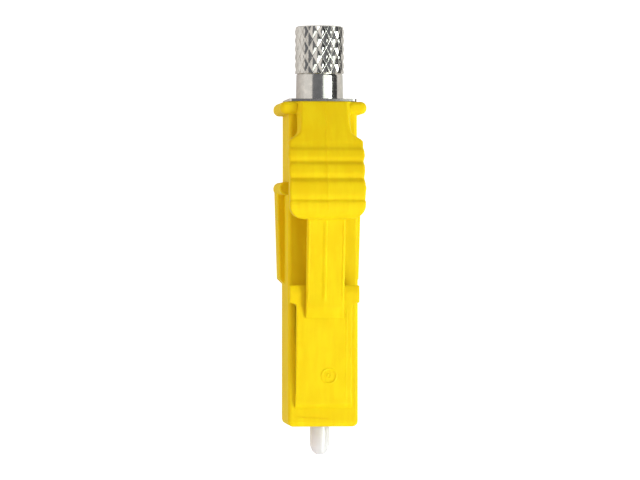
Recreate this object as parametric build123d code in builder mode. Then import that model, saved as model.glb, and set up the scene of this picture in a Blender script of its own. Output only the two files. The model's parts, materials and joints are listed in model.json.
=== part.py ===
"""Small-form-factor fibre-optic plug with a square nose, a sprung latch and a rear finger trigger.

Frame, in millimetres: the ferrule axis is the Y axis, Y = 0 is the plane of the nose's front face, the
ferrule tip points along -Y and the crimp post along +Y. +Z is the latch side, and the plug lies on its
flat -Z face.
"""

import os
from math import cos, radians, sin, tan

from build123d import *

# ---------------------------------------------------------------- driving dimensions
BODY_WIDTH = 4.5  # square nose that enters the adapter
HALF_BODY = BODY_WIDTH / 2
HOUSING_LENGTH = 15.65
REAR_FACE_Y = 20.78  # rear face of the moulded cap
POST_END_Y = 25.72
FERRULE_RADIUS = 0.6245
FERRULE_TIP_Y = -1.87

BODY_CORNER = 0.25
NOSE_ROUND = 0.35
RUNNING_GAP = 0.03  # between pieces that move against each other

# plug housing, inside
NOSE_CAVITY_RADIUS = 1.55
NOSE_CAVITY_DEPTH = 2.6
WEB_HOLE_RADIUS = 1.05
WEB_END_Y = 3.4
COLLAR_SEAT_Y = 3.85
HEX_POCKET_FLATS = 2.76
HEX_POCKET_END_Y = 7.0
SPRING_CAVITY_RADIUS = 1.6
SOCKET_START_Y = 11.4
SOCKET_WIDTH = 3.6
SOCKET_CORNER = 0.9

# plug housing, outside
LEDGE_START_Y = 14.84
LEDGE_OUT = 0.55
LEDGE_ROUND = 0.38
WING_FRONT_Y = 9.1
WING_STEP_Y = 9.42
WING_STEP_OUT = 0.32
WING_TOP_Z = -0.2
WING_ROOT_X = 1.95
OUTER_EDGE = 0.12  # rounding of the moulding's other outer edges
GATE_STEP_Y = 0.52  # a shallow step across the nose's top, deepest on the left and running out on the right
GATE_STEP_SLANT = -4  # degrees
GATE_STEP_DEPTH = 0.045

# latch arm
LATCH_PIVOT_Y = 1.55
LATCH_PIVOT_Z = 2.18
LATCH_SLOPE = radians(6)
LATCH_THICKNESS = 0.62
LATCH_KNUCKLE = 0.33
LATCH_HALF_WIDTH = 1.75
SHOULDER_HALF_WIDTH = 2.235
SHOULDER_THICKNESS = 0.45
SHOULDER_FRONT_Y = 7.95
SHOULDER_REAR_Y = 9.05
SHOULDER_CREASE_Y = 8.6
TAIL_HALF_WIDTH = 1.0
TAIL_END_Y = 10.4
TROUGH_HALF_WIDTH = 1.8
TROUGH_END_Y = 7.9

# rear cap
CAP_INSERT_START_Y = 11.6
CAP_INSERT_GAP = 0.02
WAIST_HALF_WIDTH = 2.2
BEAD_START_Y = 19.97
BEAD_HALF_WIDTH = 2.78
BEAD_TOP_Z = 2.6
BEAD_ROUND = 0.38
SNAP_Y = 13.1
SNAP_LENGTH = 1.0
SNAP_WIDTH = 1.3

# trigger lever
TRIGGER_PIVOT_Y = 20.30
TRIGGER_PIVOT_Z = 2.65
TRIGGER_KNUCKLE = 0.45
TRIGGER_SLOPE = radians(24)
NECK_HALF_WIDTH = 1.68
PAD_HALF_WIDTH = 2.36
PAD_FRONT_Y = 13.35
PAD_CORNER = 0.8
RIDGE_HALF_WIDTH = 2.42
TONGUE_HALF_WIDTH = 1.2
TONGUE_TIP_Y = 7.0
TONGUE_GAP = 0.05  # between the tongue's tip and the latch it presses

# ferrule assembly
FERRULE_REAR_Y = 4.63
FIBRE_BORE = 0.063
GLUE_GROOVE_DEPTH = 0.08  # vee groove that holds the ferrule's adhesive inside its collar
GLUE_GROOVE_LENGTH = 0.6
BUFFER_BORE = 0.5
COLLAR_FRONT_Y = 2.45
COLLAR_NOSE_RADIUS = 0.95
COLLAR_FLATS = 2.65
COLLAR_REAR_Y = 5.5
HUB_REAR_Y = 5.9
TUBE_RADIUS = 0.8
TUBE_REAR_Y = 11.95
FUNNEL_RADIUS = 0.42  # the tube's bore narrows to this at the ferrule, to guide the fibre in
FUNNEL_LENGTH = 0.62
BUFFER_TUBE_REAR_Y = 24.6

# spring and crimp post
SPRING_MEAN_RADIUS = 1.15
SPRING_WIRE_RADIUS = 0.14
SPRING_TURNS = 7
SPRING_SEAT_Y = 12.15
SHANK_RADIUS = 1.5
SHANK_START_Y = 11.0
SPRING_POCKET_RADIUS = 1.33
POST_BORE = 1.0
FLANGE_WIDTH = 4.4
FLANGE_CORNER = 0.3
FLANGE_THICKNESS = 0.21
BARREL_RADIUS = 1.53  # at the flange; it tapers a little towards the knurl
BARREL_END_RADIUS = 1.5
KNURL_START_Y = 22.65
KNURL_RADIUS = 1.59
KNURL_CHAMFER = 0.1

FULL_WIDTH = 2 * BODY_WIDTH  # wider than anything that it cuts


def station(y):
    """Cross-section plane at Y = y, whose sketches extrude towards the rear."""
    return Plane(origin=(0, y, 0), x_dir=(-1, 0, 0), z_dir=(0, 1, 0))


def latch_line(y, offset):
    """Height at y of the line that lies offset above the latch arm's mid-plane."""
    return LATCH_PIVOT_Z + (y - LATCH_PIVOT_Y) * tan(LATCH_SLOPE) + offset / cos(LATCH_SLOPE)


def latch_top(y):
    return latch_line(y, LATCH_THICKNESS / 2)


def neck_line(y, offset):
    """Height at y of the line that lies offset above the trigger neck's mid-plane."""
    return TRIGGER_PIVOT_Z + (TRIGGER_PIVOT_Y - y) * tan(TRIGGER_SLOPE) + offset / cos(TRIGGER_SLOPE)


# ---------------------------------------------------------------- plug housing
with BuildPart() as plug_housing:
    with BuildSketch(station(0)) as nose_section:
        Rectangle(BODY_WIDTH, BODY_WIDTH)
        fillet(nose_section.vertices(), BODY_CORNER)
    extrude(amount=HOUSING_LENGTH)
    fillet(plug_housing.faces().sort_by(Axis.Y)[0].edges(), NOSE_ROUND)

    # tapered grip wings on the rear half of both sides
    with BuildSketch(Plane.XY.offset(-HALF_BODY)):
        with BuildLine():
            Polyline(
                (WING_ROOT_X, WING_FRONT_Y),
                (HALF_BODY, WING_FRONT_Y),
                (HALF_BODY + WING_STEP_OUT, WING_STEP_Y),
                (HALF_BODY + LEDGE_OUT - 0.06, LEDGE_START_Y + LEDGE_ROUND),
                (WING_ROOT_X, LEDGE_START_Y + LEDGE_ROUND),
                close=True,
            )
        make_face()
        mirror(about=Plane.YZ)
    extrude(amount=HALF_BODY + WING_TOP_Z)

    # rounded rear ledge that stops a duplex clip
    with BuildSketch(Plane.XY.offset(-HALF_BODY)) as ledge_plan:
        with Locations((0, (LEDGE_START_Y + HOUSING_LENGTH) / 2)):
            Rectangle(BODY_WIDTH + 2 * LEDGE_OUT, HOUSING_LENGTH - LEDGE_START_Y)
        fillet(ledge_plan.vertices(), LEDGE_ROUND)
    extrude(amount=BODY_WIDTH)
    outer_edges = plug_housing.edges().filter_by(
        lambda edge: abs(edge.center().X) > HALF_BODY + 0.02 and edge.center().Y < HOUSING_LENGTH - 0.01
    )
    flat_edges = outer_edges.filter_by(lambda edge: edge.bounding_box().size.Z < 0.01)
    fillet(flat_edges, OUTER_EDGE)

    # nose cavity, web hole, conical collar seat and spring cavity
    with BuildSketch(Plane.XY):
        with BuildLine():
            Polyline(
                (0, -1),
                (NOSE_CAVITY_RADIUS + 0.15, -1),
                (NOSE_CAVITY_RADIUS + 0.15, 0),
                (NOSE_CAVITY_RADIUS, 0.15),
                (NOSE_CAVITY_RADIUS, NOSE_CAVITY_DEPTH),
                (WEB_HOLE_RADIUS, NOSE_CAVITY_DEPTH),
                (WEB_HOLE_RADIUS, WEB_END_Y),
                (HEX_POCKET_FLATS / 2, COLLAR_SEAT_Y),
                (HEX_POCKET_FLATS / 2, HEX_POCKET_END_Y),
                (SPRING_CAVITY_RADIUS, HEX_POCKET_END_Y),
                (SPRING_CAVITY_RADIUS, HOUSING_LENGTH),
                (0, HOUSING_LENGTH),
                close=True,
            )
        make_face()
    revolve(axis=Axis.Y, mode=Mode.SUBTRACT)
    with BuildSketch(station(COLLAR_SEAT_Y)):
        RegularPolygon(HEX_POCKET_FLATS / 2, 6, major_radius=False, rotation=30)
    extrude(amount=HEX_POCKET_END_Y - COLLAR_SEAT_Y, mode=Mode.SUBTRACT)
    with BuildSketch(station(SOCKET_START_Y)) as socket_section:
        Rectangle(SOCKET_WIDTH, SOCKET_WIDTH)
        fillet(socket_section.vertices(), SOCKET_CORNER)
    extrude(amount=HOUSING_LENGTH - SOCKET_START_Y, mode=Mode.SUBTRACT)

    # trough that the latch arm bends into, with the groove its root turns in
    groove_radius = LATCH_KNUCKLE + RUNNING_GAP
    with BuildSketch(Plane.YZ):
        with Locations((LATCH_PIVOT_Y, LATCH_PIVOT_Z)):
            Circle(groove_radius)
        with BuildLine():
            Polyline(
                (LATCH_PIVOT_Y, LATCH_PIVOT_Z - groove_radius),
                (TROUGH_END_Y, LATCH_PIVOT_Z - groove_radius),
                (TROUGH_END_Y, HALF_BODY + 1),
                (LATCH_PIVOT_Y, HALF_BODY + 1),
                close=True,
            )
        make_face()
    extrude(amount=TROUGH_HALF_WIDTH, both=True, mode=Mode.SUBTRACT)

    # shallow slanted step in front of the latch arm's root
    gate_plane = Plane(origin=(0, GATE_STEP_Y, HALF_BODY), x_dir=(1, 0, 0), z_dir=(0, -1, 0))
    with BuildSketch(gate_plane.rotated((0, 0, GATE_STEP_SLANT))):
        with BuildLine():
            Polyline(
                (-1.7, 0.1),
                (-1.7, -GATE_STEP_DEPTH),
                (-0.2, -GATE_STEP_DEPTH),
                (1.1, 0.0),
                (1.1, 0.1),
                close=True,
            )
        make_face()
    extrude(amount=-(LATCH_PIVOT_Y - GATE_STEP_Y), mode=Mode.SUBTRACT)

    # windows for the rear cap's snap lugs, above and below
    with BuildSketch(Plane.XY):
        with Locations((0, SNAP_Y)):
            Rectangle(SNAP_WIDTH + 0.1, SNAP_LENGTH + 0.1)
    extrude(amount=BODY_WIDTH, both=True, mode=Mode.SUBTRACT)
plug_housing.part.label = "plug_housing"


# ---------------------------------------------------------------- latch arm
with BuildPart() as latch_arm:
    half = LATCH_THICKNESS / 2
    with BuildSketch(Plane.YZ):
        with Locations((LATCH_PIVOT_Y, LATCH_PIVOT_Z)):
            Circle(LATCH_KNUCKLE)
        with BuildLine():
            Polyline(
                (LATCH_PIVOT_Y, latch_line(LATCH_PIVOT_Y, half)),
                (SHOULDER_CREASE_Y, latch_top(SHOULDER_CREASE_Y)),
                (SHOULDER_REAR_Y, latch_top(SHOULDER_REAR_Y) - 0.12),
                (TAIL_END_Y, latch_top(TAIL_END_Y) - 0.15),
                (TAIL_END_Y, latch_line(TAIL_END_Y, half - 0.5)),
                (SHOULDER_REAR_Y, latch_line(SHOULDER_REAR_Y, half - SHOULDER_THICKNESS)),
                (SHOULDER_FRONT_Y, latch_line(SHOULDER_FRONT_Y, half - SHOULDER_THICKNESS)),
                (SHOULDER_FRONT_Y - 0.4, latch_line(SHOULDER_FRONT_Y - 0.4, -half)),
                (LATCH_PIVOT_Y, latch_line(LATCH_PIVOT_Y, -half)),
                close=True,
            )
        make_face()
    extrude(amount=SHOULDER_HALF_WIDTH, both=True)

    # trimmed to its outline from above: plate, two catch shoulders and a narrow tail
    with BuildSketch(Plane.XY) as latch_plan:
        with BuildLine():
            Polyline(
                (0, 0),
                (LATCH_HALF_WIDTH, 0),
                (LATCH_HALF_WIDTH, SHOULDER_FRONT_Y - 0.35),
                (LATCH_HALF_WIDTH + 0.12, SHOULDER_FRONT_Y - 0.12),
                (SHOULDER_HALF_WIDTH, SHOULDER_FRONT_Y),
                (SHOULDER_HALF_WIDTH, SHOULDER_REAR_Y),
                (TAIL_HALF_WIDTH, SHOULDER_REAR_Y),
                (TAIL_HALF_WIDTH, TAIL_END_Y + 1),
                (0, TAIL_END_Y + 1),
                close=True,
            )
        make_face()
        mirror(about=Plane.YZ)
    extrude(amount=BODY_WIDTH, mode=Mode.INTERSECT)
latch_arm.part.label = "latch_arm"


# ---------------------------------------------------------------- rear cap
with BuildPart() as rear_cap:
    # insert that plugs into the housing
    insert_width = SOCKET_WIDTH - 2 * CAP_INSERT_GAP
    with BuildSketch(station(CAP_INSERT_START_Y)) as insert_section:
        Rectangle(insert_width, insert_width)
        fillet(insert_section.vertices(), SOCKET_CORNER - CAP_INSERT_GAP)
    extrude(amount=BEAD_START_Y - CAP_INSERT_START_Y)

    # waist, flush with the housing's flat back
    with BuildSketch(station(HOUSING_LENGTH)) as waist_section:
        with Locations((0, (WAIST_HALF_WIDTH - HALF_BODY) / 2)):
            Rectangle(2 * WAIST_HALF_WIDTH, WAIST_HALF_WIDTH + HALF_BODY)
        fillet(waist_section.vertices(), BODY_CORNER)
    extrude(amount=REAR_FACE_Y - HOUSING_LENGTH)

    # full-round bead at the rear
    with BuildSketch(Plane.XY.offset(-HALF_BODY)) as bead_plan:
        with Locations((0, (BEAD_START_Y + REAR_FACE_Y) / 2)):
            Rectangle(2 * BEAD_HALF_WIDTH, REAR_FACE_Y - BEAD_START_Y)
        fillet(bead_plan.vertices(), BEAD_ROUND)
    extrude(amount=HALF_BODY + BEAD_TOP_Z)
    bead_top = rear_cap.faces().sort_by(Axis.Z)[-1]
    fillet(bead_top.edges(), 0.3)

    # snap lugs in the housing's windows
    with BuildSketch(Plane.YZ):
        for side in (1, -1):
            with BuildLine():
                Polyline(
                    (SNAP_Y - SNAP_LENGTH / 2, side * 1.5),
                    (SNAP_Y - SNAP_LENGTH / 2, side * (insert_width / 2 + 0.02)),
                    (SNAP_Y + SNAP_LENGTH / 2, side * (HALF_BODY - 0.1)),
                    (SNAP_Y + SNAP_LENGTH / 2, side * 1.5),
                    close=True,
                )
            make_face()
    extrude(amount=SNAP_WIDTH / 2, both=True)

    # bore that the crimp post is pressed into
    with BuildSketch(station(CAP_INSERT_START_Y)):
        Circle(SHANK_RADIUS)
    extrude(amount=REAR_FACE_Y - CAP_INSERT_START_Y, mode=Mode.SUBTRACT)

    # groove that the trigger's root turns in
    trigger_groove = TRIGGER_KNUCKLE + RUNNING_GAP
    with BuildSketch(Plane.YZ):
        with Locations((TRIGGER_PIVOT_Y, TRIGGER_PIVOT_Z)):
            Circle(trigger_groove)
        with BuildLine():
            Polyline(
                (TRIGGER_PIVOT_Y - trigger_groove, TRIGGER_PIVOT_Z),
                (TRIGGER_PIVOT_Y - trigger_groove, HALF_BODY + 2),
                (REAR_FACE_Y + 1, HALF_BODY + 2),
                (REAR_FACE_Y + 1, TRIGGER_PIVOT_Z),
                close=True,
            )
        make_face()
    extrude(amount=NECK_HALF_WIDTH + RUNNING_GAP, both=True, mode=Mode.SUBTRACT)
rear_cap.part.label = "rear_cap"


# ---------------------------------------------------------------- trigger lever
with BuildPart() as trigger_lever:
    neck_top_y = TRIGGER_PIVOT_Y + TRIGGER_KNUCKLE * sin(TRIGGER_SLOPE)
    neck_under_y = TRIGGER_PIVOT_Y - TRIGGER_KNUCKLE * sin(TRIGGER_SLOPE)
    stair_foot_y = 17.98
    tip_z = latch_top(TONGUE_TIP_Y) + TONGUE_GAP
    with BuildSketch(Plane.YZ):
        with Locations((TRIGGER_PIVOT_Y, TRIGGER_PIVOT_Z)):
            Circle(TRIGGER_KNUCKLE)
        with BuildLine() as side_profile:
            # the pad's stair of grip ridges: each riser faces the rear, each tread is slightly crowned
            Line((neck_top_y, neck_line(neck_top_y, TRIGGER_KNUCKLE)), (stair_foot_y, 4.16))
            Line((stair_foot_y, 4.16), (17.80, 4.42))
            ThreePointArc((17.80, 4.42), (17.42, 4.52), (17.08, 4.50))
            Line((17.08, 4.50), (16.92, 4.75))
            ThreePointArc((16.92, 4.75), (16.48, 4.87), (16.05, 4.85))
            Line((16.05, 4.85), (15.88, 5.09))
            ThreePointArc((15.88, 5.09), (15.24, 5.24), (14.60, 5.19))
            Line((14.60, 5.19), (14.50, 5.29))
            ThreePointArc((14.50, 5.29), (13.80, 5.18), (13.38, 4.72))
            # tongue, down to the rounded tip that rests over the latch
            Line((13.38, 4.72), (13.25, 4.38))
            Line((13.25, 4.38), (7.80, 3.70))
            ThreePointArc((7.80, 3.70), (7.25, 3.50), (TONGUE_TIP_Y, tip_z + 0.08))
            Line((TONGUE_TIP_Y, tip_z + 0.08), (7.10, tip_z + 0.015))
            Line((7.10, tip_z + 0.015), (7.60, 3.20))
            Line((7.60, 3.20), (13.00, 3.90))
            Line((13.00, 3.90), (14.00, 4.25))
            Line((14.00, 4.25), (15.60, 4.25))
            Line((15.60, 4.25), (neck_under_y, neck_line(neck_under_y, -TRIGGER_KNUCKLE)))
            Line(
                (neck_under_y, neck_line(neck_under_y, -TRIGGER_KNUCKLE)),
                (neck_top_y, neck_line(neck_top_y, TRIGGER_KNUCKLE)),
            )
        make_face()
    extrude(amount=RIDGE_HALF_WIDTH, both=True)

    # trimmed to its outline from above: neck, flare, pad and tongue
    with BuildSketch(Plane.XY):
        with BuildLine():
            Line((0, TONGUE_TIP_Y - 0.5), (TONGUE_HALF_WIDTH, TONGUE_TIP_Y - 0.5))
            Line((TONGUE_HALF_WIDTH, TONGUE_TIP_Y - 0.5), (TONGUE_HALF_WIDTH, PAD_FRONT_Y))
            Line((TONGUE_HALF_WIDTH, PAD_FRONT_Y), (RIDGE_HALF_WIDTH - PAD_CORNER, PAD_FRONT_Y))
            RadiusArc(
                (RIDGE_HALF_WIDTH - PAD_CORNER, PAD_FRONT_Y),
                (RIDGE_HALF_WIDTH, PAD_FRONT_Y + PAD_CORNER),
                -PAD_CORNER,
            )
            Line((RIDGE_HALF_WIDTH, PAD_FRONT_Y + PAD_CORNER), (RIDGE_HALF_WIDTH, stair_foot_y))
            Line((RIDGE_HALF_WIDTH, stair_foot_y), (PAD_HALF_WIDTH, 18.25))
            ThreePointArc((PAD_HALF_WIDTH, 18.25), (2.30, 18.40), (2.16, 18.50))
            Line((2.16, 18.50), (1.86, 18.66))
            ThreePointArc((1.86, 18.66), (1.73, 18.80), (NECK_HALF_WIDTH, 18.98))
            Line((NECK_HALF_WIDTH, 18.98), (NECK_HALF_WIDTH, REAR_FACE_Y + 0.5))
            Line((NECK_HALF_WIDTH, REAR_FACE_Y + 0.5), (0, REAR_FACE_Y + 0.5))
            Line((0, REAR_FACE_Y + 0.5), (0, TONGUE_TIP_Y - 0.5))
        make_face()
        mirror(about=Plane.YZ)
    extrude(amount=FULL_WIDTH, mode=Mode.INTERSECT)

    # stiffening rib along the tongue
    with BuildSketch(Plane.YZ):
        with BuildLine():
            Polyline((8.0, 3.70), (8.6, 3.86), (13.1, 4.42), (13.1, 4.2), (8.0, 3.6), close=True)
        make_face()
    extrude(amount=0.14, both=True)
trigger_lever.part.label = "trigger_lever"


# ---------------------------------------------------------------- ferrule
with BuildPart() as ferrule:
    with BuildSketch(Plane.XY):
        with BuildLine():
            Line((FIBRE_BORE, FERRULE_TIP_Y), (0.24, FERRULE_TIP_Y))
            ThreePointArc((0.24, FERRULE_TIP_Y), (0.49, -1.62), (FERRULE_RADIUS, -1.2))
            Polyline(
                (FERRULE_RADIUS, -1.2),
                (FERRULE_RADIUS, COLLAR_FRONT_Y),
                (FERRULE_RADIUS - GLUE_GROOVE_DEPTH, COLLAR_FRONT_Y + GLUE_GROOVE_LENGTH / 2),
                (FERRULE_RADIUS, COLLAR_FRONT_Y + GLUE_GROOVE_LENGTH),
                (FERRULE_RADIUS, FERRULE_REAR_Y - 0.1),
                (FERRULE_RADIUS - 0.1, FERRULE_REAR_Y),
                (0.4, FERRULE_REAR_Y),
                (FIBRE_BORE, FERRULE_REAR_Y - 0.7),
                (FIBRE_BORE, FERRULE_TIP_Y),
            )
        make_face()
    revolve(axis=Axis.Y)
ferrule.part.label = "ferrule"


# ---------------------------------------------------------------- ferrule collar
with BuildPart() as ferrule_collar:
    # its cone rests in the housing's conical seat
    seat_slope = (COLLAR_SEAT_Y - WEB_END_Y) / (HEX_POCKET_FLATS / 2 - WEB_HOLE_RADIUS)
    cone_start_y = WEB_END_Y + RUNNING_GAP - (WEB_HOLE_RADIUS - COLLAR_NOSE_RADIUS) * seat_slope
    blank_radius = COLLAR_FLATS / 2 + 0.2
    cone_end_y = cone_start_y + (blank_radius - COLLAR_NOSE_RADIUS) * seat_slope
    with BuildSketch(Plane.XY):
        with BuildLine():
            Polyline(
                (FERRULE_RADIUS, COLLAR_FRONT_Y),
                (COLLAR_NOSE_RADIUS, COLLAR_FRONT_Y),
                (COLLAR_NOSE_RADIUS, cone_start_y),
                (blank_radius, cone_end_y),
                (blank_radius, COLLAR_REAR_Y),
                (COLLAR_NOSE_RADIUS, COLLAR_REAR_Y),
                (COLLAR_NOSE_RADIUS, HUB_REAR_Y),
                (TUBE_RADIUS, HUB_REAR_Y),
                (TUBE_RADIUS, FERRULE_REAR_Y),
                (FERRULE_RADIUS, FERRULE_REAR_Y),
                close=True,
            )
        make_face()
    revolve(axis=Axis.Y)
    with BuildSketch(station(COLLAR_FRONT_Y)):
        RegularPolygon(COLLAR_FLATS / 2, 6, major_radius=False, rotation=30)
    extrude(amount=HUB_REAR_Y - COLLAR_FRONT_Y, mode=Mode.INTERSECT)
ferrule_collar.part.label = "ferrule_collar"


# ---------------------------------------------------------------- extension tube
with BuildPart() as extension_tube:
    with BuildSketch(Plane.XY):
        with BuildLine():
            Polyline(
                (FUNNEL_RADIUS, FERRULE_REAR_Y),
                (TUBE_RADIUS, FERRULE_REAR_Y),
                (TUBE_RADIUS, TUBE_REAR_Y),
                (BUFFER_BORE, TUBE_REAR_Y),
                (BUFFER_BORE, FERRULE_REAR_Y + FUNNEL_LENGTH),
                close=True,
            )
        make_face()
    revolve(axis=Axis.Y)
extension_tube.part.label = "extension_tube"


# ---------------------------------------------------------------- buffer tube
with BuildPart() as buffer_tube:
    with BuildSketch(station(TUBE_REAR_Y)):
        Circle(TUBE_RADIUS)
        Circle(BUFFER_BORE, mode=Mode.SUBTRACT)
    extrude(amount=BUFFER_TUBE_REAR_Y - TUBE_REAR_Y)
buffer_tube.part.label = "buffer_tube"


# ---------------------------------------------------------------- ferrule spring
with BuildPart() as ferrule_spring:
    spring_start_y = COLLAR_REAR_Y + SPRING_WIRE_RADIUS + 0.02
    spring_height = SPRING_SEAT_Y - SPRING_WIRE_RADIUS - 0.02 - spring_start_y
    with BuildLine() as coil:
        Helix(
            pitch=spring_height / SPRING_TURNS,
            height=spring_height,
            radius=SPRING_MEAN_RADIUS,
            center=(0, spring_start_y, 0),
            direction=(0, 1, 0),
        )
    with BuildSketch(Plane(origin=coil.line @ 0, z_dir=coil.line % 0)):
        Circle(SPRING_WIRE_RADIUS)
    sweep(path=coil.line, is_frenet=True)
ferrule_spring.part.label = "ferrule_spring"


# ---------------------------------------------------------------- crimp post
with BuildPart() as crimp_post:
    with BuildSketch(Plane.XY):
        with BuildLine():
            Polyline(
                (SPRING_POCKET_RADIUS, SHANK_START_Y),
                (SHANK_RADIUS - 0.08, SHANK_START_Y),
                (SHANK_RADIUS, SHANK_START_Y + 0.2),
                (SHANK_RADIUS, REAR_FACE_Y),
                (BARREL_RADIUS, REAR_FACE_Y),
                (BARREL_END_RADIUS, KNURL_START_Y),
                (KNURL_RADIUS, KNURL_START_Y + KNURL_CHAMFER),
                (KNURL_RADIUS, POST_END_Y - KNURL_CHAMFER),
                (KNURL_RADIUS - KNURL_CHAMFER, POST_END_Y),
                (POST_BORE + 0.12, POST_END_Y),
                (POST_BORE, POST_END_Y - 0.12),
                (POST_BORE, SPRING_SEAT_Y),
                (SPRING_POCKET_RADIUS, SPRING_SEAT_Y),
                close=True,
            )
        make_face()
    revolve(axis=Axis.Y)
    with BuildSketch(station(REAR_FACE_Y)) as flange_section:
        Rectangle(FLANGE_WIDTH, FLANGE_WIDTH)
        fillet(flange_section.vertices(), FLANGE_CORNER)
        Circle(BARREL_RADIUS - 0.2, mode=Mode.SUBTRACT)
    extrude(amount=FLANGE_THICKNESS)
crimp_post.part.label = "crimp_post"


# ---------------------------------------------------------------- one STEP file for each sub-part
os.makedirs("parts", exist_ok=True)
for piece in (
    plug_housing,
    latch_arm,
    rear_cap,
    trigger_lever,
    ferrule,
    ferrule_collar,
    extension_tube,
    buffer_tube,
    ferrule_spring,
    crimp_post,
):
    export_step(piece.part, f"parts/{piece.part.label}.step")
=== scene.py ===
"""Looks for the small-form-factor fibre-optic plug: yellow mouldings, nickel crimp post, ceramic ferrule.

Frame, in metres: the ferrule axis is the Y axis, with the nose's front face at Y = 0 and the rear at +Y.
+Z is the latch side, and the plug lies on its flat -Z back. Shapes below are given in millimetres.
"""

import json
import math

import bmesh
import bpy
from mathutils import Matrix, Vector


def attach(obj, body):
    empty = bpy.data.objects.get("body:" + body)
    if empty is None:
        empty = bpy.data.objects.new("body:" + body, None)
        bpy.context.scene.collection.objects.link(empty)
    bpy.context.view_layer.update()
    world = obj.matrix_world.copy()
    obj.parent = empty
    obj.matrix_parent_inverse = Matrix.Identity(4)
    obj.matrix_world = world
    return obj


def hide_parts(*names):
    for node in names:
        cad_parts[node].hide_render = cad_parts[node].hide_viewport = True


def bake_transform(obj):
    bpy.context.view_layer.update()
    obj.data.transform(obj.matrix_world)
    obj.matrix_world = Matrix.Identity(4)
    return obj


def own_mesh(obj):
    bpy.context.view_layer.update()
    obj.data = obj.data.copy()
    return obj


MM = 0.001
SHARP_ANGLE = math.radians(38)
ARC_STEPS = 5  # in a section's rounded corner
BOTTOM_CORNER = 0.05  # radius along a section's lower edges
BOTTOM_STEPS = 8  # over a section's flat underside

# places shared with the CAD solids
LATCH_PIVOT = (1.55, 2.18)  # Y, Z
LATCH_SLOPE = math.radians(6)
LATCH_TAN = math.tan(LATCH_SLOPE)
LATCH_RISE = 0.31 / math.cos(LATCH_SLOPE)  # from the arm's mid-plane to its top
NECK_PIVOT = (20.30, 2.65)
NECK_SLOPE = math.radians(24)
NECK_TAN = math.tan(NECK_SLOPE)
NECK_RISE = 0.45 / math.cos(NECK_SLOPE)

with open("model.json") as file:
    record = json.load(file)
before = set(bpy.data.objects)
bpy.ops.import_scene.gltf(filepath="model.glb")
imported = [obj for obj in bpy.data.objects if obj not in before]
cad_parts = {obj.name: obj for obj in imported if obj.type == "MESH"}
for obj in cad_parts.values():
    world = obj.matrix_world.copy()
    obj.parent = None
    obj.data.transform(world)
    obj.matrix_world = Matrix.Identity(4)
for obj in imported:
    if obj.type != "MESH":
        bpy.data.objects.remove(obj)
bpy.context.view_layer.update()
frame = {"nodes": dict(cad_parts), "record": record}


# ---------------------------------------------------------------- shape helpers
def lerp_at(points, y):
    """Height or width at y along a polyline of (y, value) points in rising y."""
    if y <= points[0][0]:
        return points[0][1]
    for (y0, v0), (y1, v1) in zip(points, points[1:]):
        if y <= y1:
            return v0 + (v1 - v0) * (y - y0) / max(y1 - y0, 1e-9)
    return points[-1][1]


def bell(t):
    """Smooth bump: 1 at t = 0, 0 from |t| = 1 on."""
    return 0.5 + 0.5 * math.cos(math.pi * t) if abs(t) < 1 else 0.0


def step(t):
    """Smooth step from 0 at t = 0 to 1 at t = 1."""
    t = min(max(t, 0.0), 1.0)
    return t * t * (3 - 2 * t)


def within(y, run, start, end):
    """1 along a run (from, to), easing from 0 over its first stretch and back to 0 over its last."""
    return step((y - run[0]) / start) * step((run[1] - y) / end)


def new_object(name, verts, faces, material):
    """Mesh object from points in millimetres: smooth, with edges sharper than SHARP_ANGLE kept crisp."""
    mesh = bpy.data.meshes.new(name)
    mesh.from_pydata([tuple(c * MM for c in v) for v in verts], [], faces)
    mesh.validate()
    shell = bmesh.new()
    shell.from_mesh(mesh)
    bmesh.ops.recalc_face_normals(shell, faces=shell.faces)  # outwards
    shell.to_mesh(mesh)
    shell.free()
    mesh.shade_smooth()
    mesh.set_sharp_from_angle(angle=SHARP_ANGLE)
    mesh.materials.append(material)
    obj = bpy.data.objects.new(name, mesh)
    bpy.context.scene.collection.objects.link(obj)
    return obj


def section(y, half_top, half_bottom, top, bottom, corner, across, relief):
    """Closed cross-section at y: rounded top corners, straight sides and a lightly rounded bottom.

    across is the number of steps over the flat of the top, and relief(x, y) is added to the top's height.
    """
    corner = min(corner, half_top * 0.9, (top - bottom) * 0.6)
    low = min(BOTTOM_CORNER, (top - bottom) * 0.3)
    flat = half_top - corner
    quarter = [i / ARC_STEPS * math.pi / 2 for i in range(ARC_STEPS + 1)]
    points = [(-flat + 2 * flat * i / across, top) for i in range(across + 1)]
    points += [(flat + corner * math.sin(a), top - corner + corner * math.cos(a)) for a in quarter[1:]]
    base = half_bottom - low
    points += [(base + low * math.cos(a), bottom + low - low * math.sin(a)) for a in quarter]
    points += [(base - 2 * base * i / BOTTOM_STEPS, bottom) for i in range(1, BOTTOM_STEPS)]
    points += [(-base - low * math.sin(a), bottom + low - low * math.cos(a)) for a in quarter]
    points += [(-flat - corner * math.cos(a), top - corner + corner * math.sin(a)) for a in quarter[:-1]]
    return [(x, y, z + (relief(x, y) if z > top - corner - 1e-6 else 0.0)) for x, z in points]


def loft(name, rows, material):
    """Closed skin through cross-sections of equal point count, in rising y."""
    count = len(rows[0])
    verts = [p for row in rows for p in row]
    faces = []
    for r in range(len(rows) - 1):
        for i in range(count):
            j = (i + 1) % count
            a, b = r * count, (r + 1) * count
            faces.append((a + i, a + j, b + j, b + i))
    faces.append(tuple(reversed(range(count))))
    faces.append(tuple(range((len(rows) - 1) * count, len(rows) * count)))
    return new_object(name, verts, faces, material)


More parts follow.
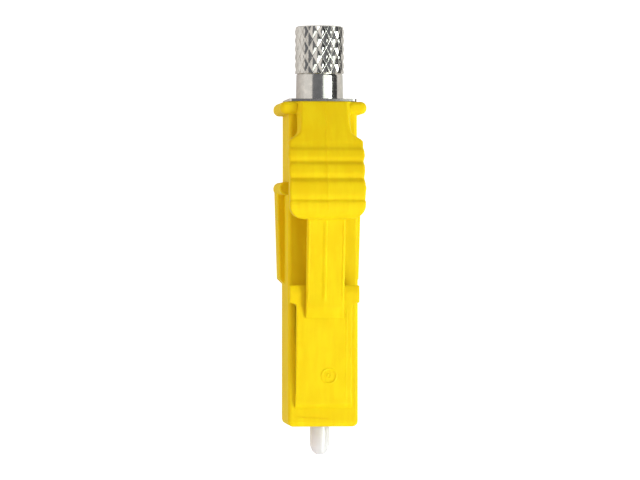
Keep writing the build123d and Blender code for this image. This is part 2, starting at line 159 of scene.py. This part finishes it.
def stations(points, spacing, dense=()):
    """Every y in the polylines, with steps no longer than spacing between them.

    Between low and high of an item (low, high, fine) of dense, steps are no longer than fine.
    """
    ys = sorted({round(y, 4) for line in points for y, _ in line})
    result = [ys[0]]
    for y in ys[1:]:
        gap = y - result[-1]
        wanted = min([fine for low, high, fine in dense if low < y and result[-1] < high] + [spacing])
        n = max(1, math.ceil(gap / wanted - 1e-6))
        start = result[-1]
        result += [start + gap * k / n for k in range(1, n + 1)]
    return result


# ---------------------------------------------------------------- material helpers
# places of the Mix node's colour sockets, whose names it shares with its other data types
MIX_COLOUR_A = 6
MIX_COLOUR_B = 7
MIX_COLOUR_RESULT = 2


def material_base(name, roughness, **sockets):
    """Principled material with its own constants set, and texture coordinates in millimetres."""
    mat = bpy.data.materials.new(name)
    mat.use_nodes = True
    tree = mat.node_tree
    shader = tree.nodes["Principled BSDF"]
    shader.inputs["Roughness"].default_value = roughness
    for key, value in sockets.items():
        shader.inputs[key.replace("_", " ")].default_value = value
    coords = tree.nodes.new("ShaderNodeTexCoord")
    scaled = tree.nodes.new("ShaderNodeMapping")
    scaled.inputs["Scale"].default_value = (1 / MM, 1 / MM, 1 / MM)
    tree.links.new(coords.outputs["Object"], scaled.inputs["Vector"])
    return mat, tree, shader, scaled


def noise(tree, vector, scale, detail=2.0, roughness=0.5):
    """Noise of 0 to 1; scale is in cells per millimetre."""
    node = tree.nodes.new("ShaderNodeTexNoise")
    node.inputs["Scale"].default_value = scale
    node.inputs["Detail"].default_value = detail
    node.inputs["Roughness"].default_value = roughness
    tree.links.new(vector, node.inputs["Vector"])
    return node.outputs["Fac"]


def stretched(tree, scaled, factors):
    """The millimetre coordinates scaled again along each axis, for streaks."""
    node = tree.nodes.new("ShaderNodeMapping")
    node.inputs["Scale"].default_value = factors
    tree.links.new(scaled.outputs["Vector"], node.inputs["Vector"])
    return node.outputs["Vector"]


def remap(tree, value, low, high, to_low, to_high):
    """Turns low to high smoothly into to_low to to_high, and holds the ends beyond."""
    node = tree.nodes.new("ShaderNodeMapRange")
    node.interpolation_type = "SMOOTHSTEP"
    for key, number in (("From Min", low), ("From Max", high), ("To Min", to_low), ("To Max", to_high)):
        node.inputs[key].default_value = number
    tree.links.new(value, node.inputs["Value"])
    return node.outputs["Result"]


def tint(tree, factor, dark, light):
    """Colour between dark and light."""
    node = tree.nodes.new("ShaderNodeMix")
    node.data_type = "RGBA"
    node.inputs[MIX_COLOUR_A].default_value = (*dark, 1)
    node.inputs[MIX_COLOUR_B].default_value = (*light, 1)
    tree.links.new(factor, node.inputs["Factor"])
    return node.outputs[MIX_COLOUR_RESULT]


def bump(tree, shader, height, strength, distance, before=None):
    """Bump into the shader, distance in millimetres, on top of the bump node before."""
    node = tree.nodes.new("ShaderNodeBump")
    node.inputs["Strength"].default_value = strength
    node.inputs["Distance"].default_value = distance * MM
    tree.links.new(height, node.inputs["Height"])
    if before is not None:
        tree.links.new(before.outputs["Normal"], node.inputs["Normal"])
    tree.links.new(node.outputs["Normal"], shader.inputs["Normal"])
    return node


def yellow_moulding():
    """Satin plastic: cloudy colour, flow lines along the plug, fine grain and a slight sink ripple."""
    mat, tree, shader, scaled = material_base(
        "yellow_moulding",
        0.38,
        Subsurface_Weight=0.22,
        Subsurface_Radius=(1.0, 0.55, 0.05),
        Subsurface_Scale=0.35 * MM,
        Specular_IOR_Level=0.08,
        IOR=1.5,
    )
    clouds = noise(tree, scaled.outputs["Vector"], 0.55, 3.0)
    flow = noise(tree, stretched(tree, scaled, (2.6, 0.35, 1.4)), 1.0, 3.0, 0.6)
    both = tree.nodes.new("ShaderNodeMath")
    both.operation = "MULTIPLY"
    tree.links.new(clouds, both.inputs[0])
    tree.links.new(flow, both.inputs[1])
    shade = remap(tree, both.outputs[0], 0.12, 0.42, 0.0, 1.0)
    colour = tint(tree, shade, (0.82, 0.62, 0.006), (0.86, 0.69, 0.009))
    tree.links.new(colour, shader.inputs["Base Color"])
    grain = noise(tree, scaled.outputs["Vector"], 22.0, 4.0, 0.65)
    tree.links.new(remap(tree, grain, 0.3, 0.7, 0.48, 0.60), shader.inputs["Roughness"])
    ripple = noise(tree, scaled.outputs["Vector"], 2.2, 2.0)
    soft = bump(tree, shader, ripple, 0.25, 0.03)
    bump(tree, shader, grain, 0.35, 0.006, before=soft)
    return mat


def nickel():
    """Plating with turning marks round the Y axis and faint stains."""
    mat, tree, shader, scaled = material_base("nickel", 0.16, Metallic=1.0)
    streaks = noise(tree, stretched(tree, scaled, (0.6, 34.0, 0.6)), 1.0, 3.0, 0.7)
    stains = noise(tree, scaled.outputs["Vector"], 1.6, 4.0, 0.6)
    shade = remap(tree, stains, 0.35, 0.7, 0.0, 1.0)
    colour = tint(tree, shade, (0.66, 0.65, 0.62), (0.79, 0.77, 0.73))
    tree.links.new(colour, shader.inputs["Base Color"])
    tree.links.new(remap(tree, streaks, 0.3, 0.7, 0.10, 0.22), shader.inputs["Roughness"])
    bump(tree, shader, streaks, 0.25, 0.004)
    return mat


def zirconia():
    """Translucent polished ceramic with faint grinding rings."""
    mat, tree, shader, scaled = material_base(
        "zirconia",
        0.12,
        Subsurface_Weight=1.0,
        Subsurface_Radius=(1.0, 0.95, 0.95),
        Subsurface_Scale=2.2 * MM,
        IOR=1.65,
        Specular_IOR_Level=0.5,
    )
    clouds = noise(tree, scaled.outputs["Vector"], 1.4, 3.0)
    colour = tint(tree, clouds, (0.66, 0.69, 0.82), (0.72, 0.75, 0.88))
    tree.links.new(colour, shader.inputs["Base Color"])
    rings = noise(tree, stretched(tree, scaled, (0.5, 40.0, 0.5)), 1.0, 2.0)
    tree.links.new(remap(tree, rings, 0.3, 0.7, 0.08, 0.18), shader.inputs["Roughness"])
    bump(tree, shader, rings, 0.1, 0.002)
    return mat


def clear_tube():
    """Waxy tubing with lines drawn along it."""
    mat, tree, shader, scaled = material_base(
        "clear_tube",
        0.3,
        Subsurface_Weight=0.6,
        Subsurface_Radius=(1.0, 0.95, 0.9),
        Subsurface_Scale=0.5 * MM,
        IOR=1.38,
    )
    drawn = noise(tree, stretched(tree, scaled, (3.0, 0.25, 3.0)), 1.0, 3.0)
    colour = tint(tree, drawn, (0.80, 0.78, 0.72), (0.91, 0.90, 0.86))
    tree.links.new(colour, shader.inputs["Base Color"])
    tree.links.new(remap(tree, drawn, 0.3, 0.7, 0.24, 0.40), shader.inputs["Roughness"])
    bump(tree, shader, drawn, 0.3, 0.01)
    return mat


def spring_steel():
    """Drawn wire with a mottled surface."""
    mat, tree, shader, scaled = material_base("spring_steel", 0.26, Metallic=1.0)
    die = noise(tree, scaled.outputs["Vector"], 9.0, 3.0)
    colour = tint(tree, die, (0.50, 0.50, 0.51), (0.66, 0.66, 0.67))
    tree.links.new(colour, shader.inputs["Base Color"])
    tree.links.new(remap(tree, die, 0.3, 0.7, 0.2, 0.34), shader.inputs["Roughness"])
    bump(tree, shader, die, 0.2, 0.003)
    return mat


SLOTS = {
    "yellow_moulding": yellow_moulding(),
    "nickel": nickel(),
    "zirconia": zirconia(),
    "clear_tube": clear_tube(),
    "spring_steel": spring_steel(),
}
for subpart in frame["record"]["subparts"]:
    node = frame["nodes"][subpart["node"]]
    for material_slot in node.material_slots:
        material_slot.material = SLOTS[subpart["material_slot"]]


# ---------------------------------------------------------------- trigger lever
def neck_top(y):
    return NECK_PIVOT[1] + (NECK_PIVOT[0] - y) * NECK_TAN + NECK_RISE


def neck_under(y):
    return NECK_PIVOT[1] + (NECK_PIVOT[0] - y) * NECK_TAN - NECK_RISE


# outlines of the lever from the tongue's tip to the root: y with a height, a half width or a corner's radius
TRIGGER_TOP = [
    # tongue
    (6.96, 3.16), (7.0, 3.20), (7.14, 3.29), (7.38, 3.42), (7.52, 3.48), (7.66, 3.525), (7.9, 3.56),
    (9.2, 3.70), (13.2, 4.38), (13.33, 4.40),
    # pad's front and its three ridges
    (13.36, 4.66), (13.40, 4.76), (13.48, 4.89), (13.60, 5.01), (13.76, 5.12), (13.95, 5.205),
    (14.15, 5.258), (14.32, 5.275), (14.43, 5.272), (14.50, 5.255), (14.56, 5.215), (14.62, 5.165),
    (14.68, 5.155), (14.76, 5.18), (14.86, 5.22), (14.98, 5.238), (15.10, 5.235), (15.3, 5.212),
    (15.5, 5.178), (15.68, 5.14), (15.79, 5.10), (15.87, 5.04), (15.94, 4.94), (16.01, 4.85),
    (16.08, 4.815), (16.16, 4.835), (16.24, 4.862), (16.34, 4.872), (16.44, 4.862), (16.60, 4.82),
    (16.74, 4.775), (16.85, 4.735), (16.93, 4.675), (17.0, 4.57), (17.07, 4.485), (17.14, 4.465),
    (17.21, 4.49), (17.30, 4.508), (17.40, 4.495), (17.56, 4.44), (17.68, 4.395), (17.77, 4.355),
    (17.84, 4.28), (17.92, 4.19), (18.0, 4.155),
    # neck
    (18.12, neck_top(18.2) + 0.015), (18.3, neck_top(18.3)), (20.62, neck_top(20.62)),
    (20.70, neck_top(20.72)), (20.75, 2.92), (20.775, 2.87),
]
TRIGGER_UNDER = [
    (6.96, 3.13), (7.10, 3.13), (7.6, 3.20), (13.0, 3.90), (13.33, 4.02), (14.0, 4.25), (15.6, 4.25),
    (19.7, neck_under(19.7)), (19.95, 2.22), (20.62, 2.24), (20.775, 2.40),
]
PAD_HALF = 2.42
PAD_FRONT = 13.36
PAD_ROUND = 0.92
PAD_STEPS = 9
PAD_CORNER = [
    (PAD_FRONT + PAD_ROUND * (1 - math.cos(a)), PAD_HALF - PAD_ROUND * (1 - math.sin(a)))
    for a in [math.pi / 2 * k / PAD_STEPS for k in range(PAD_STEPS + 1)]
]
TRIGGER_HALF = (
    [(6.96, 1.19), (7.02, 1.215), (7.1, 1.225), (13.33, 1.225)]
    + PAD_CORNER
    + [
        (14.5, 2.42), (14.62, 2.385), (14.8, 2.40), (15.25, 2.425), (15.75, 2.41), (15.95, 2.37),
        (16.1, 2.365), (16.5, 2.415), (16.85, 2.40), (17.02, 2.36), (17.12, 2.365), (17.42, 2.44),
        (17.7, 2.42), (17.9, 2.37), (18.0, 2.365), (18.2, 2.385), (18.32, 2.36), (18.42, 2.28),
        (18.52, 2.13), (18.64, 1.93), (18.76, 1.80), (18.9, 1.74), (19.1, 1.715), (19.9, 1.715),
        (20.02, 1.83), (20.62, 1.83), (20.775, 1.81),
    ]
)
TRIGGER_CORNER = [
    (6.96, 0.03), (7.1, 0.11), (13.33, 0.11), (13.36, 0.05), (13.6, 0.12), (14.2, 0.14), (18.0, 0.14),
    (18.6, 0.22), (19.2, 0.14), (20.62, 0.14), (20.775, 0.1),
]
# how far the neck's sides lean in; at the bead they run on below its top, so the root joins it without a gap
TRIGGER_DRAFT = [(18.3, 0.0), (18.9, 0.10), (19.4, 0.16), (19.9, 0.178), (20.02, 0.298), (20.775, 0.32)]
# how far each place along the lever stands further forward than the lines above say
TRIGGER_SHIFT = [
    (13.0, 0.0), (13.33, 0.08), (14.4, 0.15), (15.9, 0.21), (17.1, 0.18), (18.0, 0.12), (18.8, 0.06),
    (19.6, 0),
]
TRIGGER_SPACING = 0.22
TRIGGER_DENSE = ((7.8, 8.6, 0.08), (12.9, 13.3, 0.06), (18.2, 19.1, 0.06))
TRIGGER_ACROSS = 96
TONGUE_END = 13.2
RIDGE_RUN = (7.95, 13.25)  # of the rib and the edge beads
RIB_RISE = 0.07
EDGE_BEAD_RISE = 0.045
EDGE_BEAD_X = 1.10
WITNESS_RUN = (13.6, 20.4)
WITNESS_RISE = 0.035
WITNESS_X = 0.02


def trigger_relief(x, y):
    """Rib, steeper on its right, and edge beads along the tongue; a witness line along the pad and neck."""
    rise = WITNESS_RISE * bell((x - WITNESS_X) / 0.06) * within(y, WITNESS_RUN, 0.3, 0.3)
    if y < TONGUE_END:
        ends = within(y, RIDGE_RUN, 0.5, 0.25)
        rise += RIB_RISE * ends * step((x + 0.28) / 0.25) * step((0.08 - x) / 0.09)
        rise += EDGE_BEAD_RISE * ends * bell((abs(x) - EDGE_BEAD_X) / 0.10)
    return rise


def build_trigger():
    rows = []
    lines = (TRIGGER_TOP, TRIGGER_UNDER, TRIGGER_HALF, TRIGGER_CORNER)
    for y in stations(lines, TRIGGER_SPACING, dense=TRIGGER_DENSE):
        half = lerp_at(TRIGGER_HALF, y)
        half_top = half - lerp_at(TRIGGER_DRAFT, y)
        top, bottom = lerp_at(TRIGGER_TOP, y), lerp_at(TRIGGER_UNDER, y)
        corner = lerp_at(TRIGGER_CORNER, y)
        place = y - lerp_at(TRIGGER_SHIFT, y)
        rows.append(section(place, half_top, half, top, bottom, corner, TRIGGER_ACROSS, trigger_relief))
    skin = loft("trigger_skin", rows, SLOTS["yellow_moulding"])
    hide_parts("trigger_lever")
    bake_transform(skin)


# ---------------------------------------------------------------- latch arm
def latch_height(y, above):
    return LATCH_PIVOT[1] + (y - LATCH_PIVOT[0]) * LATCH_TAN + above


# outlines of the arm from the root to the tail: y with a height, a half width or a corner's radius
LATCH_TOP = [
    (1.18, 2.235), (1.24, 2.29), (1.36, 2.42), (1.46, 2.48), (1.56, 2.505),
    (1.8, latch_height(1.8, LATCH_RISE)), (8.5, latch_height(8.5, LATCH_RISE)),
    (8.6, latch_height(8.6, LATCH_RISE - 0.01)), (8.75, latch_height(8.75, LATCH_RISE - 0.05)),
    (9.0, latch_height(9.0, LATCH_RISE - 0.11)), (9.04, latch_height(9.04, LATCH_RISE - 0.13)),
    (9.05, latch_height(9.05, LATCH_RISE - 0.14)), (10.3, latch_height(10.3, LATCH_RISE - 0.16)),
    (10.4, latch_height(10.4, LATCH_RISE - 0.2)),
]
LATCH_UNDER = [
    (1.18, 2.05), (1.3, 1.93), (1.55, latch_height(1.55, -LATCH_RISE)),
    (7.55, latch_height(7.55, -LATCH_RISE)), (7.95, latch_height(7.95, LATCH_RISE - 0.45)),
    (9.05, latch_height(9.05, LATCH_RISE - 0.45)), (10.4, latch_height(10.4, LATCH_RISE - 0.48)),
]
LATCH_HALF = [
    (1.18, 1.815), (1.7, 1.815), (2.3, 1.785), (7.52, 1.785), (7.68, 1.795), (7.78, 1.82), (7.85, 1.89),
    (7.90, 1.99), (7.93, 2.12), (7.95, 2.215), (7.97, 2.232), (9.03, 2.232), (9.049, 2.21), (9.05, 1.0),
    (10.3, 1.0), (10.4, 0.95),
]
LATCH_CORNER = [(1.18, 0.02), (1.5, 0.06), (2.2, 0.08), (7.5, 0.08), (8.0, 0.05), (10.4, 0.05)]
LATCH_SPACING = 0.3
LATCH_DENSE = ((2.65, 3.95, 0.035),)
LATCH_ACROSS = 100
MARK_PLACE = (0.33, 3.28)
MARK_RADIUS = 0.46
MARK_RISE = 0.05
DIMPLE_RADIUS = 0.13
DIMPLE_RISE = 0.045
HOLLOW_DEPTH = 0.02
BORDER_RUN = (1.6, 7.6)
BORDER_RISE = 0.02
BORDER_X = 1.42


def latch_relief(x, y):
    """Plain moulded ring round a hollow with a small ring in it, and a faint border line on the right."""
    away = math.hypot(x - MARK_PLACE[0], y - MARK_PLACE[1])
    rise = MARK_RISE * bell((away - MARK_RADIUS) / 0.09) - HOLLOW_DEPTH * step((MARK_RADIUS - away) / 0.1)
    rise += DIMPLE_RISE * bell((away - DIMPLE_RADIUS) / 0.09)
    rise += BORDER_RISE * bell((x - BORDER_X) / 0.06) * within(y, BORDER_RUN, 0.2, 0.3)
    return rise


def build_latch():
    rows = []
    lines = (LATCH_TOP, LATCH_UNDER, LATCH_HALF, LATCH_CORNER)
    for y in stations(lines, LATCH_SPACING, dense=LATCH_DENSE):
        half = lerp_at(LATCH_HALF, y)
        top, bottom = lerp_at(LATCH_TOP, y), lerp_at(LATCH_UNDER, y)
        corner = lerp_at(LATCH_CORNER, y)
        rows.append(section(y, half, half, top, bottom, corner, LATCH_ACROSS, latch_relief))
    skin = loft("latch_skin", rows, SLOTS["yellow_moulding"])
    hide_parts("latch_arm")
    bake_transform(skin)


# ---------------------------------------------------------------- crimp post
KNURL = (22.66, 25.64)
KNURL_STARTS = 16
KNURL_TIP = 1.588
KNURL_DEPTH = 0.12
KNURL_PITCH = 1.065  # length of one diamond along the axis
KNURL_ROUNDING = 0.55  # 0 for sharp points, 1 for a sine's crowns
KNURL_ROWS = 108
AROUND = 16 * KNURL_STARTS
# ring profile as (radius, y): the outside from the front to the knurl, then the rear end and the bore
POST_FRONT = [
    (1.33, 11.02), (1.42, 11.0), (1.5, 11.2), (1.5, 20.76), (1.53, 20.8), (1.5285, 20.9), (1.502, 22.45),
    (1.5015, 22.5), (1.49, 22.59), (1.44, 22.64),
]
POST_REAR = [
    (1.47, 25.68), (1.40, 25.71), (1.14, 25.715), (1.05, 25.67), (1.0, 25.58), (1.0, 12.15), (1.33, 12.13),
]
PLATE_FRONT = (20.79, 20.82)  # face and rim
PLATE_REAR = (20.97, 20.99)  # rim and face
PLATE_HALF = 2.2
PLATE_CORNER = 0.3
PLATE_CORNER_STEPS = 8
PLATE_BORE = 1.45
PLATE_EDGE = 0.975  # how far the plate's faces are scaled in, for its bevelled rim


def triangle(t):
    """0 at whole numbers, 1 half way between them."""
    return 1 - abs(2 * (t - math.floor(t)) - 1)


def knurl_radius(angle, y):
    turn = KNURL_STARTS * angle / (2 * math.pi)
    along = (y - KNURL[0]) / KNURL_PITCH
    height = min(triangle(turn + along), triangle(turn - along))
    height = (1 - KNURL_ROUNDING) * height + KNURL_ROUNDING * math.sin(height * math.pi / 2)
    return KNURL_TIP - KNURL_DEPTH * (1 - height)


def revolve(profile, count):
    """Points and faces of a closed ring profile turned about the Y axis.

    A profile item is (radius, y), where a radius of None stands for the knurl's.
    """
    verts, faces = [], []
    for radius, y in profile:
        for k in range(count):
            angle = 2 * math.pi * k / count
            r = knurl_radius(angle, y) if radius is None else radius
            verts.append((r * math.sin(angle), y, r * math.cos(angle)))
    rings = len(profile)
    for i in range(rings):
        for k in range(count):
            a, b = i * count, ((i + 1) % rings) * count
            faces.append((a + k, b + k, b + (k + 1) % count, a + (k + 1) % count))
    return verts, faces


def build_plate(base):
    """Points and faces of the square stop plate in front of the barrel, with points numbered from base."""
    outline = []
    for sx, sz in ((1, 1), (1, -1), (-1, -1), (-1, 1)):
        for k in range(PLATE_CORNER_STEPS + 1):
            a = math.pi / 2 * k / PLATE_CORNER_STEPS
            run_x, run_z = (math.sin(a), math.cos(a)) if sx == sz else (math.cos(a), math.sin(a))
            x = sx * (PLATE_HALF - PLATE_CORNER + PLATE_CORNER * run_x)
            z = sz * (PLATE_HALF - PLATE_CORNER + PLATE_CORNER * run_z)
            outline.append((x, z))
    bore = [(PLATE_BORE * x / math.hypot(x, z), PLATE_BORE * z / math.hypot(x, z)) for x, z in outline]
    rings = [
        (bore, PLATE_FRONT[0], 1.0), (outline, PLATE_FRONT[0], PLATE_EDGE), (outline, PLATE_FRONT[1], 1.0),
        (outline, PLATE_REAR[0], 1.0), (outline, PLATE_REAR[1], PLATE_EDGE), (bore, PLATE_REAR[1], 1.0),
    ]
    verts, faces, n = [], [], len(outline)
    for ring, y, scale in rings:
        verts += [(x * scale, y, z * scale) for x, z in ring]
    for i in range(len(rings)):
        for k in range(n):
            a, b = base + i * n, base + ((i + 1) % len(rings)) * n
            faces.append((a + k, b + k, b + (k + 1) % n, a + (k + 1) % n))
    return verts, faces


def build_post():
    knurl_ys = [KNURL[0] + (KNURL[1] - KNURL[0]) * k / KNURL_ROWS for k in range(KNURL_ROWS + 1)]
    verts, faces = revolve(POST_FRONT + [(None, y) for y in knurl_ys] + POST_REAR, AROUND)
    plate_verts, plate_faces = build_plate(len(verts))
    verts, faces = verts + plate_verts, faces + plate_faces
    skin = new_object("crimp_post_knurled", verts, faces, SLOTS["nickel"])
    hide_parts("crimp_post")
    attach(skin, "plug")


# ---------------------------------------------------------------- ferrule spring
SPRING_ENDS = (5.66, 11.99)
SPRING_RADIUS = 1.15
WIRE_RADIUS = 0.138
SPRING_TURNS = 9
STEPS_PER_TURN = 40
WIRE_SIDES = 12
END_TURN_CLOSING = 0.045  # draws the end turns together, as on a squared coil


def build_spring():
    steps, sides = SPRING_TURNS * STEPS_PER_TURN, WIRE_SIDES
    verts, faces = [], []
    for i in range(steps + 1):
        t = i / steps
        turn = 2 * math.pi * SPRING_TURNS * t
        run = t - END_TURN_CLOSING * math.sin(2 * math.pi * t)
        y = SPRING_ENDS[0] + (SPRING_ENDS[1] - SPRING_ENDS[0]) * run
        out = Vector((math.sin(turn), 0, math.cos(turn)))
        centre = out * SPRING_RADIUS + Vector((0, y, 0))
        for k in range(sides):
            a = 2 * math.pi * k / sides
            p = centre + out * (WIRE_RADIUS * math.cos(a)) + Vector((0, WIRE_RADIUS * math.sin(a), 0))
            verts.append(tuple(p))
    for i in range(steps):
        for k in range(sides):
            a, b, j = i * sides, (i + 1) * sides, (k + 1) % sides
            faces.append((a + k, a + j, b + j, b + k))
    faces.append(tuple(reversed(range(sides))))
    faces.append(tuple(range(steps * sides, (steps + 1) * sides)))
    coil = new_object("ferrule_coil", verts, faces, SLOTS["spring_steel"])
    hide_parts("ferrule_spring")
    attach(coil, "plug")
    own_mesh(coil)


build_trigger()
build_latch()
build_post()
build_spring()


# ---------------------------------------------------------------- floor, light and camera
TARGET = Vector((0.03 * MM, 11.94 * MM, 0))
VIEW_TILT = math.radians(6)
CAMERA_DISTANCE = 230 * MM
FRAME_WIDTH = 41.28 * MM
SENSOR = 36.0
FLOOR_Z = -2.252
FLOOR_HALF = 900.0
FLOOR_GLOW = 0.3  # what the bright floor adds to the light on the plug
KEY_COLOUR = (0.945, 1.01, 0.93)
FILL_COLOUR = (1.0, 0.95, 0.88)
SOFT_COLOUR = (1.0, 0.70, 0.56)
SKY_COLOUR = (1.0, 0.77, 0.70, 1)
SKY_STRENGTH = 0.34
GLOSS_SKY_COLOUR = (0.92, 0.94, 1.0, 1)


def build_floor():
    h = FLOOR_HALF
    corners = [(-h, -h, FLOOR_Z), (h, -h, FLOOR_Z), (h, h, FLOOR_Z), (-h, h, FLOOR_Z)]
    mesh = bpy.data.meshes.new("floor")
    mesh.from_pydata([tuple(c * MM for c in v) for v in corners], [], [(0, 1, 2, 3)])
    mat = bpy.data.materials.new("paper_floor")
    mat.use_nodes = True
    tree = mat.node_tree
    shader = tree.nodes["Principled BSDF"]
    shader.inputs["Base Color"].default_value = (0.42, 0.42, 0.42, 1)
    shader.inputs["Roughness"].default_value = 0.9
    shader.inputs["Specular IOR Level"].default_value = 0.1
    shader.inputs["Emission Color"].default_value = (1, 1, 1, 1)
    path = tree.nodes.new("ShaderNodeLightPath")
    glow = remap(tree, path.outputs["Is Camera Ray"], 0.0, 1.0, FLOOR_GLOW, 1.0)
    tree.links.new(glow, shader.inputs["Emission Strength"])
    # clear from below, so the plug's back can be looked at
    side = tree.nodes.new("ShaderNodeNewGeometry")
    clear = tree.nodes.new("ShaderNodeBsdfTransparent")
    mix = tree.nodes.new("ShaderNodeMixShader")
    tree.links.new(side.outputs["Backfacing"], mix.inputs[0])
    tree.links.new(shader.outputs[0], mix.inputs[1])
    tree.links.new(clear.outputs[0], mix.inputs[2])
    tree.links.new(mix.outputs[0], tree.nodes["Material Output"].inputs["Surface"])
    mesh.materials.append(mat)
    floor = bpy.data.objects.new("floor", mesh)
    bpy.context.scene.collection.objects.link(floor)


def placed(x_axis, y_axis, z_axis, place):
    """Matrix that turns an object to the three axes and puts it at place."""
    matrix = Matrix((x_axis, y_axis, z_axis)).transposed().to_4x4()
    matrix.translation = place
    return matrix


def softbox(name, angle, distance, spread, length, offset_y, radiance, colour, in_gloss=True):
    """Area light that hangs angle degrees from the zenith towards +X and spans spread degrees there.

    distance, length and offset_y are in millimetres; length is along Y, and offset_y is from the target.
    """
    a = math.radians(angle)
    width = 2 * distance * math.tan(math.radians(spread / 2))
    data = bpy.data.lights.new(name, "AREA")
    data.shape = "RECTANGLE"
    data.size = width * MM
    data.size_y = length * MM
    data.energy = radiance * math.pi * width * length * MM * MM
    data.color = colour
    light = bpy.data.objects.new(name, data)
    light.visible_glossy = in_gloss
    place = TARGET + Vector((math.sin(a) * distance, offset_y, math.cos(a) * distance)) * MM
    toward = (TARGET - place).normalized()
    side = Vector((0, 1, 0)).cross(-toward).normalized()
    up = (-toward).cross(side)
    light.matrix_world = placed(side, up, -toward, place)
    bpy.context.scene.collection.objects.link(light)


def build_world():
    """White to the camera, a warm even sky for matt surfaces and a dim one for reflections."""
    world = bpy.data.worlds.new("studio")
    world.use_nodes = True
    bpy.context.scene.world = world
    tree = world.node_tree
    output = tree.nodes["World Output"]
    base = tree.nodes["Background"]
    base.inputs["Color"].default_value = SKY_COLOUR
    base.inputs["Strength"].default_value = SKY_STRENGTH
    gloss = tree.nodes.new("ShaderNodeBackground")
    gloss.inputs["Color"].default_value = GLOSS_SKY_COLOUR
    coords = tree.nodes.new("ShaderNodeTexCoord")
    parts = tree.nodes.new("ShaderNodeSeparateXYZ")
    tree.links.new(coords.outputs["Generated"], parts.inputs[0])
    tree.links.new(remap(tree, parts.outputs["X"], 0.3, 0.8, 0.2, 0.05), gloss.inputs["Strength"])
    seen = tree.nodes.new("ShaderNodeBackground")
    seen.inputs["Color"].default_value = (1, 1, 1, 1)
    path = tree.nodes.new("ShaderNodeLightPath")
    shine = tree.nodes.new("ShaderNodeMixShader")
    mix = tree.nodes.new("ShaderNodeMixShader")
    tree.links.new(path.outputs["Is Glossy Ray"], shine.inputs[0])
    tree.links.new(base.outputs[0], shine.inputs[1])
    tree.links.new(gloss.outputs[0], shine.inputs[2])
    tree.links.new(path.outputs["Is Camera Ray"], mix.inputs[0])
    tree.links.new(shine.outputs[0], mix.inputs[1])
    tree.links.new(seen.outputs[0], mix.inputs[2])
    tree.links.new(mix.outputs[0], output.inputs["Surface"])


def build_camera():
    """Camera above the latch side, leaning VIEW_TILT towards -X, with +Y up in its picture."""
    data = bpy.data.cameras.new("camera")
    data.sensor_width = SENSOR
    data.lens = SENSOR * CAMERA_DISTANCE / FRAME_WIDTH
    data.clip_start = 0.005
    data.clip_end = 5.0
    camera = bpy.data.objects.new("camera", data)
    back = Vector((-math.sin(VIEW_TILT), 0, math.cos(VIEW_TILT)))
    right = Vector((0, 1, 0)).cross(back).normalized()
    camera.matrix_world = placed(right, Vector((0, 1, 0)), back, TARGET + back * CAMERA_DISTANCE)
    bpy.context.scene.collection.objects.link(camera)
    bpy.context.scene.camera = camera


build_floor()
softbox(
    "key_outer", angle=46.5, distance=250, spread=17, length=360, offset_y=-105, radiance=8.3,
    colour=KEY_COLOUR,
)
softbox(
    "key_inner", angle=24.5, distance=250, spread=27, length=360, offset_y=-60, radiance=1.4,
    colour=KEY_COLOUR,
)
softbox(
    "fill", angle=-70, distance=250, spread=56, length=420, offset_y=0, radiance=0.75,
    colour=FILL_COLOUR,
)
softbox(
    "fill_soft", angle=-65, distance=300, spread=62, length=480, offset_y=0, radiance=0.55,
    colour=SOFT_COLOUR, in_gloss=False,
)
build_world()
build_camera()
bpy.context.scene.view_settings.view_transform = "Standard"
